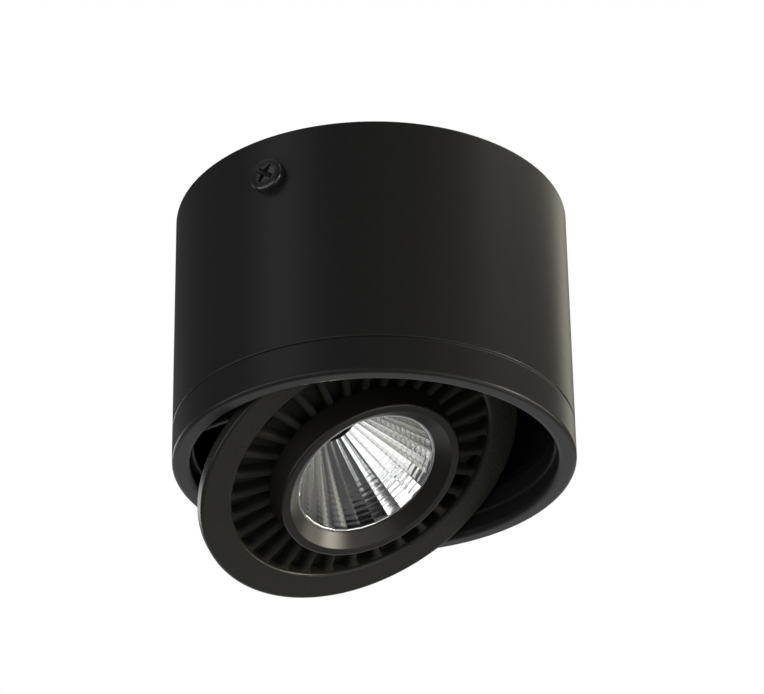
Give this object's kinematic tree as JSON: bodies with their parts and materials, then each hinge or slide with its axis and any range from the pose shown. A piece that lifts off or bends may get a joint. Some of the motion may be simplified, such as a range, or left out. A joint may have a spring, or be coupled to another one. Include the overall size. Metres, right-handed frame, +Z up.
{
  "type": "surface-mounted swivel spotlight",
  "caption": "Black round ceiling spotlight: housing with trim ring, and a finned disc head with a faceted reflector that swivels and tilts.",
  "frame": {"origin": "centre of the face that lies against the ceiling, on the housing's upright axis", "axes": "+Z up into the ceiling, +X the way the head faces at rest, Y along the tilt axis"},
  "size_m": [0.092, 0.0972, 0.0825],
  "materials": {
    "black_paint": "satin black powder coat",
    "head_paint": "satin black paint on the casting",
    "bezel_paint": "smooth black paint",
    "black_screw": "black oxide steel",
    "zinc_steel": "bright zinc plate",
    "bowl_metal": "bright anodised facets",
    "board_metal": "white-lacquered aluminium board",
    "phosphor": "dull yellow phosphor gel, unlit",
    "holder_plastic": "black moulded plastic",
    "pad_rubber": "grey silicone",
    "seal_rubber": "black rubber",
    "driver_plastic": "white moulded plastic",
    "board_green": "green solder mask",
    "coil_tape": "yellow coil tape",
    "can_sleeve": "shrunk dark sleeve",
    "block_plastic": "white nylon",
    "brass": "plain brass",
    "nylon": "natural nylon",
    "lead_sheath": "soft grey sheath"
  },
  "bodies": {
    "housing": {"ceiling_plate": "zinc_steel", "cable_bush": "seal_rubber", "housing_shell": "black_paint", "side_screws": "black_screw", "trim_ring": "black_paint", "retaining_ring": "black_screw", "driver_case": "driver_plastic", "driver_lid": "driver_plastic", "driver_board": "board_green", "driver_transformer": "coil_tape", "driver_capacitors": "can_sleeve", "driver_screws": "zinc_steel", "output_gland": "seal_rubber", "terminal_block": "block_plastic", "terminal_screws": "brass", "block_screws": "zinc_steel", "earth_screw": "brass", "earth_tag": "brass", "driver_leads": "lead_sheath"},
    "swivel": {"swivel_ring": "black_paint", "head_lead": "lead_sheath"},
    "head": {"heat_sink": "head_paint", "bezel_ring": "bezel_paint", "reflector": "bowl_metal", "cob_holder": "holder_plastic", "cob_screws": "zinc_steel", "cob_board": "board_metal", "cob_emitter": "phosphor", "thermal_pad": "pad_rubber", "cob_leads": "lead_sheath", "lead_gland": "seal_rubber", "tilt_screws": "zinc_steel", "friction_washers": "nylon", "spring_washers": "zinc_steel"}
  },
  "joints": [
    {"name": "head_swivel", "type": "hinge", "parent": "housing", "child": "swivel", "pos_m": [0, 0, -0.0596], "axis": [0, 0, 1], "range_deg": [-175, 175]},
    {"name": "head_tilt", "type": "hinge", "parent": "swivel", "child": "head", "pos_m": [0, 0, -0.0686], "axis": [0, -1, 0], "range_deg": [-30.2, 9.8], "deforming": ["head_lead"]}
  ]
}
